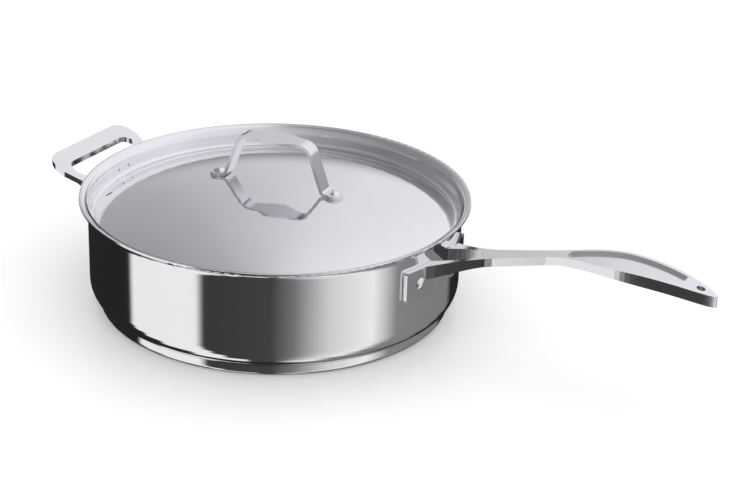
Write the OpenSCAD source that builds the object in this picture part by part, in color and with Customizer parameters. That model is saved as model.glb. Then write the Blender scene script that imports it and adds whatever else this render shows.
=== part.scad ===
// Saute pan with a lift-off lid, all in polished stainless steel.
// The pan's axis is the Z axis, the pan stands on z = 0, the long handle points along +X
// and the helper handle along -X. Lengths are in millimetres and angles in degrees.

/* [Pan body] */
// Outer radius of the upright wall
body_r = 138.8; // [125:0.1:150]
// Thickness of the drawn steel sheet
wall_t = 1; // [0.8:0.1:1.2]
// Height of the rim above the surface that the pan stands on
pan_h = 84; // [76:0.5:100]
// Radius of the flared pouring rim, measured on its upper face
flare_r = 8; // [7:0.1:9]
// Radius of the bead along the edge of the rim
bead_r = 1.1; // [0.7:0.1:1.4]
// Outer radius of the bend between the wall and the floor
corner_r = 16; // [10:0.5:20]

/* [Sandwich base] */
// Thickness of the aluminium core
core_t = 4.4; // [3:0.1:6]
// Thickness of the steel cap below the core
cap_t = 0.8; // [0.6:0.1:1.2]
// Outer radius of the steel cap
cap_r = 131.6; // [128:0.1:132.5]
// Radius of the cap's lower edge
cap_edge_r = 3; // [1.5:0.1:3.5]

/* [Lid] */
// Thickness of the lid's steel sheet
lid_t = 0.8; // [0.6:0.1:1]
// Radius of the dome's upper face
dome_r = 388; // [340:1:500]
// Depth of the lid's plug below the rim, down to where the channel starts to bend
plug_depth = 11.9; // [10.5:0.1:14]
// Radius of the channel between the plug and the dome
channel_r = 3; // [2:0.1:4]
// How far the lid's flange lies inside the edge of the rim
flange_inset = 5.5; // [4.5:0.1:6]
// Turn of the lid in the pan, from the long handle to the lid handle
lid_turn = 5.3; // [-90:0.1:90]
// Distance of the steam slot from the middle of the lid
slot_at = 127.6; // [110:0.1:128]
// Turn of the steam slot's place from the lid handle
slot_turn = 196.5; // [150:0.5:240]
// Length of the steam slot
slot_len = 6; // [4:0.1:10]
// Width of the steam slot
slot_w = 2.2; // [1.5:0.1:3]
// Direction of the two round vents from the lid handle's line
vent_turn = 176.5; // [150:0.5:210]
// Distance between the two round vents
vent_pitch = 13; // [8:0.5:20]
// Diameter of a round vent
vent_d = 2; // [1.5:0.1:2.6]
// Height of the round vents above the channel
vent_rise = 2.2; // [2:0.1:3]

/* [Lid handle] */
// Distance between the two rivets of the lid handle
lid_rivet_pitch = 95; // [80:1:110]
// Thickness of the strap
strap_t = 2.5; // [2:0.1:3.5]
// Height of the strap's top above the middle of the dome
strap_rise = 34.8; // [30:0.5:42]
// Lean of the strap's legs from upright
leg_lean = 20; // [10:1:25]
// Radius of the bend between a leg and the grip, at the middle of the strap
strap_bend_r = 10; // [6:0.5:12]
// Radius of the bend between a leg and its foot, at the middle of the strap
foot_bend_r = 3.5; // [3:0.1:5]
// Radius of the round end of a foot, which is half its width
foot_r = 7; // [6.5:0.1:8]
// Width of the strap's legs
leg_w = 12.6; // [10:0.2:13]
// Width of the grip at its widest
lid_grip_w = 25; // [18:0.5:30]
// Half length of the widened part of the grip
lid_grip_len = 22; // [16:0.5:24]

/* [Long handle] */
// Length of the long handle from the wall to its tip
handle_len = 206; // [170:1:240]
// Height of the handle's upper face at the wall
handle_z = 67.8; // [66:0.1:70]
// Rise of the handle's straight part
handle_rise = 14.7; // [8:0.1:20]
// Distance from the wall to where the handle starts to arch
arch_at = 87; // [70:1:100]
// Radius of the arch
arch_r = 225; // [200:5:400]
// Depth of the handle at the wall
root_depth = 10; // [8:0.1:14]
// Depth of the handle at its neck
neck_depth = 6.2; // [5:0.1:8]
// Depth of the handle at the grip
grip_depth = 8; // [6.5:0.1:10]
// Width of the handle at its waist
waist_w = 13.4; // [10:0.1:18]
// Distance from the wall to the waist
waist_at = 84; // [75:1:95]
// Width of the grip at its widest
grip_w = 33; // [26:0.5:38]
// Distance from the wall to the widest part of the grip
belly_at = 138; // [125:1:145]
// Widening of each side at the wall, over a straight neck
fork_flare = 14; // [10:0.5:16]
// Length of that widening
fork_flare_len = 44; // [40:1:50]
// Length of the opening between the two arms
fork_gap_len = 33; // [26:0.5:36]
// Width of the opening between the two arms
fork_gap_w = 24.8; // [20:0.2:26]
// Depth of the hollow in the top of the grip
scoop_depth = 2.2; // [1:0.1:3]
// Width of the border round that hollow
scoop_border = 3.2; // [2.5:0.1:5]
// Distance from the wall to the start of the hollow
scoop_from = 98; // [96:1:110]
// Length of the hollow
scoop_len = 84; // [60:1:86]
// Diameter of the hanging hole
hang_d = 6; // [4:0.1:6.5]
// Distance of the hanging hole from the tip
hang_inset = 12; // [11:0.1:14]

/* [Wings and rivets] */
// Height of the wings that are riveted to the wall
wing_h = 23; // [20:0.5:28]
// Thickness of the wings
wing_t = 3.5; // [2.5:0.1:4.5]
// Width of each of the long handle's wings, along Y
wing_w = 31; // [26:0.5:34]
// Radius of the wings' corners
wing_corner_r = 2; // [1:0.1:4]
// Diameter of the rivets' shanks
shank_d = 6; // [4:0.1:7]
// Diameter of the rivets' outer heads
head_d = 9; // [8:0.1:10]
// Height of the rivets' outer heads
head_h = 2.2; // [1.5:0.1:2.8]
// Diameter of the flat heads on the inside
inner_head_d = 11; // [9:0.1:13]
// Height of the flat heads on the inside
inner_head_h = 1.5; // [1:0.1:2]

/* [Helper handle] */
// Reach of the helper handle from the wall
helper_len = 39; // [30:0.5:50]
// Height of the helper handle's upper face at the wall
helper_z = 70; // [66:0.5:71]
// Rise of the helper handle
helper_rise = 24; // [10:0.5:28]
// Thickness of the helper handle, measured upright
helper_t = 4.2; // [3:0.1:6]
// Width of the helper handle at its outer corners
helper_w = 95; // [80:1:110]
// Width of the helper handle at the wall
helper_root_w = 84; // [76:1:90]
// Radius of the helper handle's outer corners
helper_corner_r = 17; // [14:0.5:20]
// Width of the grip bar
helper_bar_w = 12.5; // [10:0.5:15]
// Width of the two side arms
helper_arm_w = 10; // [8:0.5:12]
// Width of each of the helper handle's wings, along Y
helper_wing_w = 30; // [24:0.5:36]

/* [Clearances] */
// Gap between the wings and the wall, and between the base cap's edge and the pan's bend
seat_gap = 0.1; // [0.05:0.01:0.2]
// Gap round the lid where it sits in the rim
lid_gap = 0.3; // [0.2:0.05:0.5]
// Gap round a rivet's shank in its holes
shank_gap = 0.05; // [0.03:0.01:0.1]
// Gap between the lid handle's feet and the dome
foot_gap = 0.03; // [0.02:0.01:0.1]

/* [Hidden] */

$fn = 96;
arc_n = 12;
eps = 0.01;
big = 400;
steel = "#c9cacc";
bright_steel = "#dddee0";
aluminium = "#b3b4b6";

body_in_r = body_r - wall_t;
floor_z = cap_t + core_t;
flare_c = [body_in_r + flare_r, pan_h - flare_r];
rim_r = flare_c.x - 0.7;
corner_c = [body_r - corner_r, floor_z + corner_r];

plug_r = body_in_r - lid_gap;
plug_in_r = plug_r - lid_t;
plug_z = pan_h - plug_depth;
channel_c = [plug_in_r - channel_r, plug_z];
dome_c = channel_c.y - sqrt(pow(dome_r + channel_r, 2) - pow(channel_c.x, 2));
dome_top = dome_c + dome_r;
dome_edge_a = atan2(channel_c.y - dome_c, channel_c.x);
flange_r = rim_r - flange_inset;
vent_z = plug_z + vent_rise;
vent_a = vent_pitch / plug_in_r * 180 / PI;

foot_x = lid_rivet_pitch / 2;
foot_a = asin(foot_x / dome_r);
strap_top = dome_top + strap_rise;

waist_taper = 0.057;
tip_x = body_r + handle_len;
handle_slope = tan(handle_rise);
peak_x = body_r + arch_at + arch_r * sin(handle_rise);
peak_z = handle_z + arch_at * handle_slope + arch_r * (1 - cos(handle_rise));
hang_x = tip_x - hang_inset;
wing_in_r = body_r + seat_gap;
wing_out_r = wing_in_r + wing_t;
wing_z = handle_z + 0.5 - wing_h / 2;
wing_y = fork_gap_w / 2 + wing_w / 2;
rivet_a = asin((wing_y + 1) / wing_in_r);

helper_slope = tan(helper_rise);
helper_wing_y = (helper_root_w - helper_arm_w) / 2;
helper_wing_z = wing_z;
helper_rivet_a = asin(helper_wing_y / wing_in_r);

function clamp01(t) = max(0, min(1, t));
function ease(t) = (1 - cos(180 * clamp01(t))) / 2;
function unit(v) = v / norm(v);
function turn90(v) = [-v.y, v.x];

// Points of an arc about c from angle a to angle b
function arc(c, r, a, b, n = arc_n) =
    [for (i = [0 : n]) c + r * [cos(a + (b - a) * i / n), sin(a + (b - a) * i / n)]];

// Points of the rounded corner q of the path p, q, s, with radius r
function round_corner(p, q, s, r) =
    let (u = unit(p - q), v = unit(s - q), half = acos(u * v) / 2)
    let (c = q + unit(u + v) * r / sin(half), reach = r / tan(half))
    let (a = q + u * reach - c, b = q + v * reach - c)
    let (t0 = atan2(a.y, a.x), t1 = atan2(b.y, b.x))
    let (turn = t1 - t0 > 180 ? t1 - t0 - 360 : t1 - t0 < -180 ? t1 - t0 + 360 : t1 - t0)
    arc(c, r, t0, t0 + turn);

// The path moved sideways by d, with its corners still sharp
function shifted(path, d) = [for (i = [0 : len(path) - 1])
    let (before = i > 0 ? turn90(unit(path[i] - path[i - 1])) : undef)
    let (after = i < len(path) - 1 ? turn90(unit(path[i + 1] - path[i])) : undef)
    let (m = is_undef(before) ? after : is_undef(after) ? before
        : (before + after) / (1 + before * after))
    path[i] + m * d];

// The same path with rounded corners, where radii holds one radius for each inner corner
function rounded(path, radii) = [
    path[0],
    for (i = [1 : len(path) - 2]) each round_corner(path[i - 1], path[i], path[i + 1], radii[i - 1]),
    path[len(path) - 1]];

function reversed(list) = [for (i = [len(list) - 1 : -1 : 0]) list[i]];

// Pan body: one drawn sheet, from the middle of the floor to the beaded pouring rim
module pan_body() {
    bead_c = [rim_r - bead_r, pan_h - bead_r];
    flare_end = 96;
    profile = [
        [0, floor_z],
        each arc(corner_c, corner_r, -90, 0),
        each arc(flare_c, flare_r - wall_t, 180, flare_end),
        each reversed(arc(flare_c, flare_r, 180, flare_end)),
        each arc(corner_c, corner_r - wall_t, 0, -90),
        [0, floor_z + wall_t]];
    color(bright_steel) difference() {
        rotate_extrude() {
            polygon(profile);
            translate(bead_c) circle(r = bead_r, $fn = 32);
        }
        wall_holes(rivet_a, wing_z, 0);
        wall_holes(helper_rivet_a, helper_wing_z, 180);
    }
}

// The two rivet holes of one handle, drilled towards the pan's axis
module wall_holes(angle, z, side) {
    for (s = [-1, 1])
        rotate([0, 0, side + s * angle])
            translate([body_r - 20, 0, z])
                rotate([0, 90, 0])
                    cylinder(d = shank_d + 2 * shank_gap, h = 40);
}

// Aluminium core that spreads the heat, between the pan's floor and the steel cap
module base_core() {
    core_r = cap_r - cap_t - seat_gap;
    lower_r = cap_edge_r - cap_t;
    flat_r = corner_c.x;
    side_a = acos((core_r - seat_gap - flat_r) / (corner_r + seat_gap));
    color(aluminium) rotate_extrude()
        polygon([
            [0, cap_t],
            each arc([core_r - lower_r, cap_t + lower_r], lower_r, -90, 0, 6),
            each arc(corner_c, corner_r + seat_gap, -side_a, -90),
            [flat_r, floor_z],
            [0, floor_z]]);
}

// Steel cap: a shallow tray pressed over the core
module base_cap() {
    inner_r = cap_r - cap_t;
    lower_r = cap_edge_r - cap_t;
    in_z = corner_c.y - sqrt(pow(corner_r + seat_gap, 2) - pow(inner_r - corner_c.x, 2));
    out_z = corner_c.y - sqrt(pow(corner_r + seat_gap, 2) - pow(cap_r - corner_c.x, 2));
    color(steel) rotate_extrude()
        polygon([
            [0, 0],
            each arc([cap_r - cap_edge_r, cap_edge_r], cap_edge_r, -90, 0, 8),
            [cap_r, out_z],
            [inner_r, in_z],
            each arc([inner_r - lower_r, cap_t + lower_r], lower_r, 0, -90, 8),
            [0, cap_t]]);
}

// Upper face of the long handle, as a height over the distance x from the pan's axis
function handle_top(x) = x < body_r + arch_at
    ? handle_z + (x - body_r) * handle_slope
    : peak_z - arch_r + sqrt(pow(arch_r, 2) - pow(x - peak_x, 2));

// Depth of the long handle at the distance s from the wall
function handle_depth(s) = neck_depth
    + (root_depth - neck_depth) * (1 - ease(s / fork_flare_len))
    + (grip_depth - neck_depth) * ease((s - belly_at + 20) / 45);

// Half the width of the long handle at the distance s from the wall
function handle_half(s) = s < waist_at
    ? waist_w / 2 + waist_taper * (waist_at - s)
        + fork_flare * pow(max(0, 1 - s / fork_flare_len), 1.8)
    : s < belly_at
    ? waist_w / 2 + (grip_w - waist_w) / 2 * ease((s - waist_at) / (belly_at - waist_at))
    : grip_w / 2 * pow(max(0, 1 - pow((s - belly_at) / (handle_len - belly_at), 1.5)), 0.6);

// Outline of the long handle from above, inset by d
module handle_outline(from, to, d) {
    n = 60;
    side = [for (i = [0 : n]) let (t = i / n, s = from + (to - from) * (1 - pow(1 - t, 1.6)))
        [body_r + s, max(0, handle_half(s) - d)]];
    polygon([each side, each reversed([for (p = side) if (p.y > 0) [p.x, -p.y]])]);
}

// Band between two heights that follow the handle, from the distance a to b from the wall
module handle_band(a, b, top, depth) {
    n = 44;
    step = (b - a) / n;
    upper = [for (i = [0 : n]) [body_r + a + i * step, handle_top(body_r + a + i * step) + top]];
    lower = [for (i = [n : -1 : 0])
        let (s = a + i * step)
        [body_r + s, handle_top(body_r + s) - (depth > 0 ? depth : handle_depth(s))]];
    rotate([90, 0, 0])
        linear_extrude(height = big, center = true)
            polygon(concat(upper, lower));
}

// Opening between the two arms, a slot with an elliptic end
module fork_gap() {
    n = 24;
    half = fork_gap_w / 2;
    end = [for (i = [0 : n]) let (a = 90 - 180 * i / n)
        [body_r + 3 + (fork_gap_len - 3) * cos(a), half * sin(a)]];
    linear_extrude(height = big, center = true)
        polygon([[body_r - 20, half], each end, [body_r - 20, -half]]);
}

// Rounded plate in the YZ plane, bent round the pan's wall
module wing(y, z, w) {
    intersection() {
        translate([0, y, z])
            rotate([90, 0, 90])
                linear_extrude(height = big)
                    rounded_rectangle(w, wing_h, wing_corner_r);
        translate([0, 0, z - wing_h])
            difference() {
                cylinder(r = wing_out_r, h = 2 * wing_h, $fn = 180);
                translate([0, 0, -1])
                    cylinder(r = wing_in_r, h = 2 * wing_h + 2, $fn = 180);
            }
    }
}

module rounded_rectangle(w, h, r) {
    c = [w / 2 - r, h / 2 - r];
    polygon([
        each arc([c.x, c.y], r, 0, 90, 6),
        each arc([-c.x, c.y], r, 90, 180, 6),
        each arc([-c.x, -c.y], r, 180, 270, 6),
        each arc([c.x, -c.y], r, 270, 360, 6)]);
}

// Long handle: one casting with a forked root, two riveted wings and a hollowed grip
module long_handle() {
    color(steel) difference() {
        union() {
            for (s = [-1, 1])
                wing(s * wing_y, wing_z, wing_w);
            intersection() {
                handle_band(-10, handle_len + 1, 0, 0);
                translate([0, 0, -big / 2])
                    linear_extrude(height = 2 * big)
                        handle_outline(-10, handle_len, 0);
            }
        }
        cylinder(r = wing_in_r, h = big, $fn = 180);
        fork_gap();
        intersection() {
            handle_band(scoop_from, scoop_from + scoop_len, 20, scoop_depth);
            translate([0, 0, -big / 2])
                linear_extrude(height = 2 * big)
                    handle_outline(scoop_from, scoop_from + scoop_len, scoop_border);
        }
        translate([hang_x, 0, 0])
            cylinder(d = hang_d, h = big);
        wall_holes(rivet_a, wing_z, 0);
    }
}

// One rivet along +Z through a stack from z = bottom to z = top
module rivet(bottom, top) {
    head_a = 2 * atan(2 * head_h / head_d);
    head_r = head_d / 2 / sin(head_a);
    edge = 0.3;
    rotate_extrude()
        polygon([
            [0, bottom - inner_head_h],
            [inner_head_d / 2 - edge, bottom - inner_head_h],
            [inner_head_d / 2, bottom - inner_head_h + edge],
            [inner_head_d / 2, bottom],
            [shank_d / 2, bottom],
            [shank_d / 2, top],
            each arc([0, top + head_h - head_r], head_r, 90 - head_a, 90, 8)]);
}

// The two rivets of one handle, set towards the pan's axis
module wall_rivets(angle, z, side) {
    inside = sqrt(pow(body_in_r, 2) - pow(inner_head_d / 2, 2));
    for (s = [-1, 1])
        rotate([0, 0, side + s * angle])
            translate([0, 0, z])
                rotate([0, 90, 0])
                    rivet(inside - eps, wing_out_r + eps);
}

module long_handle_rivets() {
    color(bright_steel) wall_rivets(rivet_a, wing_z, 0);
}

// Outline of the helper handle from above, with its grip towards +X
module helper_outline() {
    far = body_r + helper_len;
    outer = [[body_r - 20, helper_root_w / 2], [body_r + 6, helper_root_w / 2],
        [far - helper_corner_r, helper_w / 2], [far, helper_w / 2], [far, -helper_w / 2],
        [far - helper_corner_r, -helper_w / 2], [body_r + 6, -helper_root_w / 2],
        [body_r - 20, -helper_root_w / 2]];
    in_far = far - helper_bar_w;
    in_r = helper_corner_r - 0.6 * helper_arm_w;
    root_y = helper_root_w / 2 - helper_arm_w;
    wide_y = helper_w / 2 - helper_arm_w;
    inner = [[body_r - 21, root_y], [body_r + 6, root_y],
        [in_far - in_r, wide_y], [in_far, wide_y], [in_far, -wide_y],
        [in_far - in_r, -wide_y], [body_r + 6, -root_y], [body_r - 21, -root_y]];
    corner = 0.7 * helper_corner_r;
    difference() {
        polygon(rounded(outer, [20, 9, corner, corner, 9, 20]));
        polygon(rounded(inner, [20, 4, 0.7 * in_r, 0.7 * in_r, 4, 20]));
    }
}

// Helper handle: one cast loop with two riveted wings
module helper_handle() {
    slope_z = function (x) helper_z + (x - body_r) * helper_slope;
    near = body_r - 20;
    far = body_r + helper_len + 1;
    color(steel) rotate([0, 0, 180]) difference() {
        union() {
            for (s = [-1, 1])
                wing(s * helper_wing_y, helper_wing_z, helper_wing_w);
            intersection() {
                rotate([90, 0, 0])
                    linear_extrude(height = big, center = true)
                        polygon([[near, slope_z(near)], [far, slope_z(far)],
                            [far, slope_z(far) - helper_t], [body_r + 12, slope_z(body_r + 12) - helper_t],
                            [body_r, slope_z(body_r) - 2 * helper_t],
                            [near, slope_z(near) - 2 * helper_t]]);
                linear_extrude(height = big) helper_outline();
            }
        }
        cylinder(r = wing_in_r, h = big, $fn = 180);
        wall_holes(helper_rivet_a, helper_wing_z, 0);
    }
}

module helper_handle_rivets() {
    color(bright_steel) wall_rivets(helper_rivet_a, helper_wing_z, 180);
}

// Lid shell: flange in the pouring rim, plug, channel and dome, pressed from one sheet
module lid_shell() {
    top_r = flare_r + lid_gap + lid_t;
    low_r = flare_r + lid_gap;
    top_a = acos((flange_r - flare_c.x) / top_r);
    low_a = acos((flange_r - flare_c.x) / low_r);
    profile = [
        [0, dome_top],
        each arc([0, dome_c], dome_r, 90, dome_edge_a, 24),
        each arc(channel_c, channel_r, dome_edge_a - 180, 0),
        each arc(flare_c, top_r, 180, top_a),
        each reversed(arc(flare_c, low_r, 180, low_a)),
        each reversed(arc(channel_c, channel_r + lid_t, dome_edge_a - 180, 0)),
        each arc([0, dome_c], dome_r - lid_t, dome_edge_a, 90, 24)];
    color(bright_steel) rotate([0, 0, lid_turn]) difference() {
        rotate_extrude($fn = 180) polygon(profile);
        vent_holes();
        steam_slot();
        for (s = [-1, 1])
            foot_frame(s)
                translate([0, 0, -20])
                    cylinder(d = shank_d + 2 * shank_gap, h = 40);
    }
}

// Two round vents through the side of the plug, drilled towards the lid's axis
module vent_holes() {
    for (s = [-1, 1])
        rotate([0, 0, vent_turn + s * vent_a / 2])
            translate([plug_in_r - 3, 0, vent_z])
                rotate([0, 90, 0])
                    cylinder(d = vent_d, h = 7, $fn = 32);
}

// Steam slot through the edge of the dome
module steam_slot() {
    half = (slot_len - slot_w) / 2;
    rotate([0, 0, slot_turn])
        translate([slot_at, 0, pan_h - 40])
            rotate([0, 0, 55]) {
                for (s = [-1, 1])
                    translate([s * half, 0, 0])
                        cylinder(d = slot_w, h = 60, $fn = 32);
                translate([-half, -slot_w / 2, 0])
                    cube([2 * half, slot_w, 60]);
            }
}

// Puts its children on the dome at a foot of the lid handle, with Z square to the dome
module foot_frame(s) {
    translate([0, 0, dome_c])
        rotate([0, s * foot_a, 0])
            translate([0, 0, dome_r])
                children();
}

// Lid handle: a bent strap with two riveted feet and a widened grip
module lid_handle() {
    foot_z = dome_r + foot_gap + strap_t / 2;
    foot_mid = foot_z * [sin(foot_a), cos(foot_a)] + [0, dome_c];
    along = [cos(foot_a), -sin(foot_a)];
    foot_end = foot_mid + along * (foot_r + 2);
    leg_base = foot_mid - along * (foot_r + 0.7);
    top_z = strap_top - strap_t / 2;
    leg_top = [leg_base.x - (top_z - leg_base.y) * tan(leg_lean), top_z];
    right = [foot_end, leg_base, leg_top];
    path = concat(right, reversed([for (p = right) [-p.x, p.y]]));
    outer_radii = [foot_bend_r - strap_t / 2, strap_bend_r + strap_t / 2,
        strap_bend_r + strap_t / 2, foot_bend_r - strap_t / 2];
    inner_radii = [foot_bend_r + strap_t / 2, strap_bend_r - strap_t / 2,
        strap_bend_r - strap_t / 2, foot_bend_r + strap_t / 2];
    color(steel) rotate([0, 0, lid_turn]) difference() {
        intersection() {
            rotate([90, 0, 0])
                linear_extrude(height = big, center = true)
                    polygon(concat(
                        rounded(shifted(path, -strap_t / 2), outer_radii),
                        reversed(rounded(shifted(path, strap_t / 2), inner_radii))));
            linear_extrude(height = big) strap_outline();
        }
        for (s = [-1, 1])
            foot_frame(s)
                translate([0, 0, -5])
                    cylinder(d = shank_d + 2 * shank_gap, h = 15);
    }
}

// Outline of the strap from above: a waisted band with a round foot at each end
module strap_outline() {
    n = 48;
    neck_a = asin(leg_w / 2 / foot_r);
    neck_x = foot_x - foot_r * cos(neck_a);
    side = [for (i = [1 : n - 1])
        let (x = -neck_x + 2 * neck_x * i / n)
        [x, leg_w / 2 + (lid_grip_w - leg_w) / 2 * (1 - ease(abs(x) / lid_grip_len))]];
    polygon(concat(
        side,
        arc([foot_x, 0], foot_r, 180 - neck_a, neck_a - 180, 24),
        reversed([for (p = side) [p.x, -p.y]]),
        arc([-foot_x, 0], foot_r, -neck_a, neck_a - 360, 24)));
}

module lid_handle_rivets() {
    color(bright_steel) rotate([0, 0, lid_turn])
        for (s = [-1, 1])
            foot_frame(s)
                rivet(-lid_t - inner_head_d * inner_head_d / 8 / dome_r - eps,
                    strap_t + foot_gap + eps);
}

pan_body();
base_core();
base_cap();
long_handle();
long_handle_rivets();
helper_handle();
helper_handle_rivets();
lid_shell();
lid_handle();
lid_handle_rivets();
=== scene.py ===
import bpy
import math
from mathutils import Matrix, Vector

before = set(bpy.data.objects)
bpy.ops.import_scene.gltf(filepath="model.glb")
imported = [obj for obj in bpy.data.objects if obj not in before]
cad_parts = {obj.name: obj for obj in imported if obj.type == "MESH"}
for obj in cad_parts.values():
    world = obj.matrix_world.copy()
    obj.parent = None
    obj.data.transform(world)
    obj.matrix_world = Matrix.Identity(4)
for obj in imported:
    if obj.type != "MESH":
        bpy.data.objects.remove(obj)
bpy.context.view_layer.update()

mm = 0.001

# Solved from the rim, base and handles in the photo; lengths in mm, angles in degrees
rimScale = 145 / 146                   # rim radius of this pan over the one used while solving
cameraView = {
    "turn": 32.0,                      # about the pan's axis, from a view straight at its side
    "elevation": 24.335,
    "distance": 1421.19 * rimScale,
    "lookAtHeight": 40 * rimScale,
    "yaw": 3.042,                      # the last three turn the camera off the pan's axis
    "pitch": -0.080,
    "roll": -0.668,
    "focusPixels": 1872.66,
    "imagePixels": 750,
    "sensorWidth": 36,
    "nearest": 0.05,                   # clipping, in metres
    "farthest": 30,
}


def turnPair(first, second, axis, degrees):
    turn = Matrix.Rotation(math.radians(degrees), 3, axis)
    return turn @ first, turn @ second


def makeCamera(view):
    elevation = math.radians(view["elevation"])
    back = Vector((0, -math.cos(elevation), math.sin(elevation)))
    place = back * view["distance"] + Vector((0, 0, view["lookAtHeight"]))
    forward, right = -back, Vector((1, 0, 0))
    up = right.cross(forward)
    forward, right = turnPair(forward, right, up, -view["yaw"])
    forward, up = turnPair(forward, up, right, view["pitch"])
    right, up = turnPair(right, up, forward, view["roll"])
    right, up = turnPair(right, up, "Z", view["turn"])
    forward, place = turnPair(forward, place, "Z", view["turn"])
    data = bpy.data.cameras.new("view")
    data.sensor_width = view["sensorWidth"]
    data.lens = view["focusPixels"] * view["sensorWidth"] / view["imagePixels"]
    data.clip_start, data.clip_end = view["nearest"], view["farthest"]
    camera = bpy.data.objects.new("view", data)
    bpy.context.scene.collection.objects.link(camera)
    facing = Matrix((right, up, -forward)).transposed().to_4x4()
    camera.matrix_world = Matrix.Translation(place * mm) @ facing
    bpy.context.scene.camera = camera


makeCamera(cameraView)
bpy.context.scene.view_settings.view_transform = "Standard"
print("camera placed")


def linear(hexColour):
    parts = [int(hexColour[i:i + 2], 16) / 255 for i in (1, 3, 5)]
    return [c / 12.92 if c <= 0.04045 else ((c + 0.055) / 1.055) ** 2.4 for c in parts] + [1]


# Sockets of a colour mix, whose names are shared with those of other kinds of mix
mixFactor, mixFirst, mixSecond, mixResult = 0, 6, 7, 2


def addNode(tree, kind, settings=None, links=None):
    node = tree.nodes.new(kind)
    for key, value in (settings or {}).items():
        if isinstance(key, int) or key in node.inputs:
            node.inputs[key].default_value = value
        else:
            setattr(node, key, value)
    for key, source in (links or {}).items():
        tree.links.new(source, node.inputs[key])
    return node


# Cloud and grain are the sizes in mm of the slow cloudiness and of the polishing marks;
# real marks of some hundredths of a millimetre are drawn coarser, so that they show at all
def polishedMetal(name, finish):
    material = bpy.data.materials.new(name)
    material.use_nodes = True
    tree = material.node_tree
    shader = tree.nodes["Principled BSDF"]
    place = addNode(tree, "ShaderNodeTexCoord").outputs["Object"]
    cloud = addNode(tree, "ShaderNodeTexNoise",
                    {"Scale": 1 / (finish["cloud"] * mm), "Detail": 3.0}, {"Vector": place})
    grain = addNode(tree, "ShaderNodeTexNoise",
                    {"Scale": 1 / (finish["grain"] * mm), "Detail": 2.0}, {"Vector": place})
    smoothest, roughest = (finish["roughness"] * share for share in (0.7, 1.3))
    rough = addNode(tree, "ShaderNodeMapRange", {"To Min": smoothest, "To Max": roughest},
                    {"Value": cloud.outputs["Fac"]})
    tint = addNode(tree, "ShaderNodeMix",
                   {"data_type": "RGBA", mixFirst: linear(finish["dark"]),
                    mixSecond: linear(finish["light"])},
                   {mixFactor: cloud.outputs["Fac"]})
    marks = addNode(tree, "ShaderNodeBump",
                    {"Strength": finish["bump"], "Distance": finish["markDepth"] * mm},
                    {"Height": grain.outputs["Fac"]})
    tree.links.new(tint.outputs[mixResult], shader.inputs["Base Color"])
    tree.links.new(rough.outputs["Result"], shader.inputs["Roughness"])
    tree.links.new(marks.outputs["Normal"], shader.inputs["Normal"])
    shader.inputs["Metallic"].default_value = 1
    return material


# Mirror-buffed stainless sheet: almost a clear reflection, slightly cool
mirrorSteel = polishedMetal("mirror-buffed stainless sheet", {
    "light": "#f0f0f2", "dark": "#e6e6e9", "roughness": 0.07,
    "cloud": 60, "grain": 0.8, "bump": 0.05, "markDepth": 0.01})
# Buffed stainless casting: softer reflections with faint waviness
castSteel = polishedMetal("buffed stainless casting", {
    "light": "#ececee", "dark": "#e0e0e3", "roughness": 0.14,
    "cloud": 25, "grain": 1.2, "bump": 0.12, "markDepth": 0.01})
# Milled aluminium disc: duller and greyer, shut in between the floor and the cap
coreAluminium = polishedMetal("milled aluminium disc", {
    "light": "#cfd0d2", "dark": "#c2c3c6", "roughness": 0.35,
    "cloud": 20, "grain": 0.6, "bump": 0.2, "markDepth": 0.01})

nodeMaterials = {
    "pan_body": mirrorSteel,
    "base_core": coreAluminium,
    "base_cap": mirrorSteel,
    "long_handle": castSteel,
    "long_handle_rivets": mirrorSteel,
    "helper_handle": castSteel,
    "helper_handle_rivets": mirrorSteel,
    "lid_shell": mirrorSteel,
    "lid_handle": castSteel,
    "lid_handle_rivets": mirrorSteel,
}


def dressNodes():
    for node, material in nodeMaterials.items():
        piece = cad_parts[node]
        if not piece.material_slots:
            piece.data.materials.append(material)
        for materialSlot in piece.material_slots:
            materialSlot.material = material


dressNodes()
print("materials on")

# Soft lights in metres, degrees and watts; the steel shows the studio's bands instead of them
softboxes = {
    "overhead": {"azimuth": 200, "elevation": 75, "distance": 1.7, "size": (1.8, 1.4), "power": 5},
    "front": {"azimuth": 20, "elevation": 50, "distance": 1.9, "size": (1.6, 1.2), "power": 3},
}
panMiddle = Vector((0, 0, 0.05))


def softbox(name, box):
    a, e = math.radians(box["azimuth"]), math.radians(box["elevation"])
    back = Vector((math.sin(a) * math.cos(e), -math.cos(a) * math.cos(e), math.sin(e)))
    data = bpy.data.lights.new(name, "AREA")
    data.shape = "RECTANGLE"
    data.size, data.size_y = box["size"]
    data.energy = box["power"]
    light = bpy.data.objects.new(name, data)
    light.visible_glossy = False
    bpy.context.scene.collection.objects.link(light)
    facing = (-back).to_track_quat("-Z", "Y").to_matrix().to_4x4()
    light.matrix_world = Matrix.Translation(back * box["distance"] + panMiddle) @ facing


# Table in metres, just below the base so that the two don't flicker
table = {"size": 12, "top": -0.0004, "colour": "#fbfaf9", "roughness": 0.35, "glow": 0.03}


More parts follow.
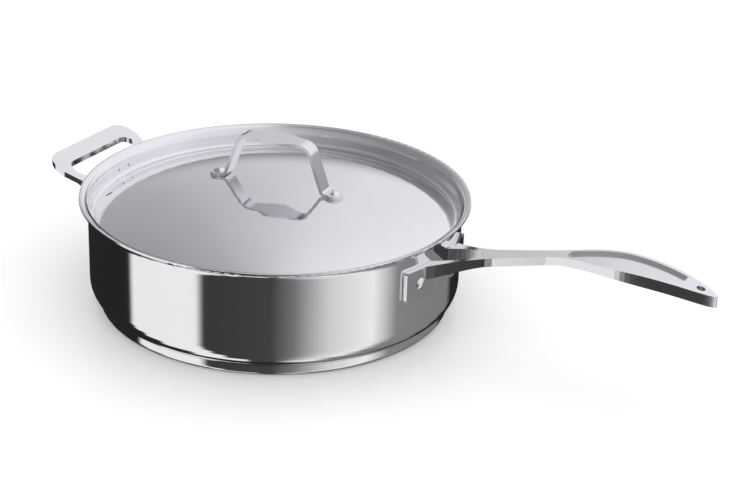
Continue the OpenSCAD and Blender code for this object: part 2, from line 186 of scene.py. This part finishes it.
def makeTable():
    bpy.ops.mesh.primitive_plane_add(size=table["size"], location=(0, 0, table["top"]))
    floor = bpy.context.object
    floor.name = "studio_floor"
    material = bpy.data.materials.new("white acrylic table")
    material.use_nodes = True
    tree = material.node_tree
    shader = tree.nodes["Principled BSDF"]
    shader.inputs["Base Color"].default_value = linear(table["colour"])
    shader.inputs["Roughness"].default_value = table["roughness"]
    # White with the pan's shadow, but out of the way of the steel's reflections
    rays = addNode(tree, "ShaderNodeLightPath")
    glow = addNode(tree, "ShaderNodeEmission",
                   {"Color": (1, 1, 1, 1), "Strength": table["glow"]})
    clear = addNode(tree, "ShaderNodeBsdfTransparent")
    lit = addNode(tree, "ShaderNodeAddShader", None,
                  {0: shader.outputs["BSDF"], 1: glow.outputs["Emission"]})
    shown = addNode(tree, "ShaderNodeMixShader", None,
                    {0: rays.outputs["Is Glossy Ray"], 1: lit.outputs["Shader"],
                     2: clear.outputs["BSDF"]})
    tree.links.new(shown.outputs["Shader"], tree.nodes["Material Output"].inputs["Surface"])
    floor.data.materials.append(material)


makeTable()
for name, box in softboxes.items():
    softbox(name, box)

# Brightness of the studio round the pan, by the turn in degrees from the camera:
# the low bands show in the wall, the high ones in the lid and on the handles' tops
studioBands = {
    "low": [(-180, 0.02), (-100, 0.02), (-96, 0.97), (-49, 0.97), (-44, 0.045), (-2, 0.06),
            (12, 0.2), (34, 0.72), (62, 0.98), (80, 0.26), (134, 0.22), (140, 0.02),
            (180, 0.02)],
    "high": [(-180, 0.70), (-165, 0.48), (-140, 0.30), (-90, 0.26), (-30, 0.45), (20, 0.8),
             (90, 1.0), (150, 1.0), (170, 0.86), (180, 0.70)],
    "lowTint": (1, 1, 1),
    "highTint": (0.985, 0.965, 1),     # faint lilac
    "blend": (-0.15, 0.2),             # the direction's height, from low to high bands
}


def bandRamp(tree, bands, turn, tint):
    ramp = addNode(tree, "ShaderNodeValToRGB", None, {"Fac": turn})
    elements = ramp.color_ramp.elements
    for degrees, value in bands[1:-1]:
        elements.new(0.5 + degrees / 360)
    for element, (degrees, value) in zip(elements, bands):
        element.color = [value * part for part in tint] + [1]
    return ramp.outputs["Color"]


def makeStudio(bands):
    world = bpy.data.worlds.new("studio")
    bpy.context.scene.world = world
    world.use_nodes = True
    tree = world.node_tree
    rays = addNode(tree, "ShaderNodeLightPath")
    place = addNode(tree, "ShaderNodeTexCoord")
    towardsCamera = (0, 0, math.radians(90 - cameraView["turn"]))
    turned = addNode(tree, "ShaderNodeMapping", {"Rotation": towardsCamera},
                     {"Vector": place.outputs["Generated"]})
    split = addNode(tree, "ShaderNodeSeparateXYZ", None, {"Vector": turned.outputs["Vector"]})
    turn = addNode(tree, "ShaderNodeTexGradient", {"gradient_type": "RADIAL"},
                   {"Vector": turned.outputs["Vector"]})
    low = bandRamp(tree, bands["low"], turn.outputs["Fac"], bands["lowTint"])
    high = bandRamp(tree, bands["high"], turn.outputs["Fac"], bands["highTint"])
    lowest, highest = bands["blend"]
    height = addNode(tree, "ShaderNodeMapRange",
                     {"From Min": lowest, "From Max": highest, "interpolation_type": "SMOOTHSTEP"},
                     {"Value": split.outputs["Z"]})
    studio = addNode(tree, "ShaderNodeMix", {"data_type": "RGBA"},
                     {mixFactor: height.outputs["Result"], mixFirst: low, mixSecond: high})
    # Plain white to everything but the steel
    shown = addNode(tree, "ShaderNodeMix", {"data_type": "RGBA", mixFirst: (1, 1, 1, 1)},
                    {mixFactor: rays.outputs["Is Glossy Ray"],
                     mixSecond: studio.outputs[mixResult]})
    tree.links.new(shown.outputs[mixResult], tree.nodes["Background"].inputs["Color"])


makeStudio(studioBands)
print("stage set")
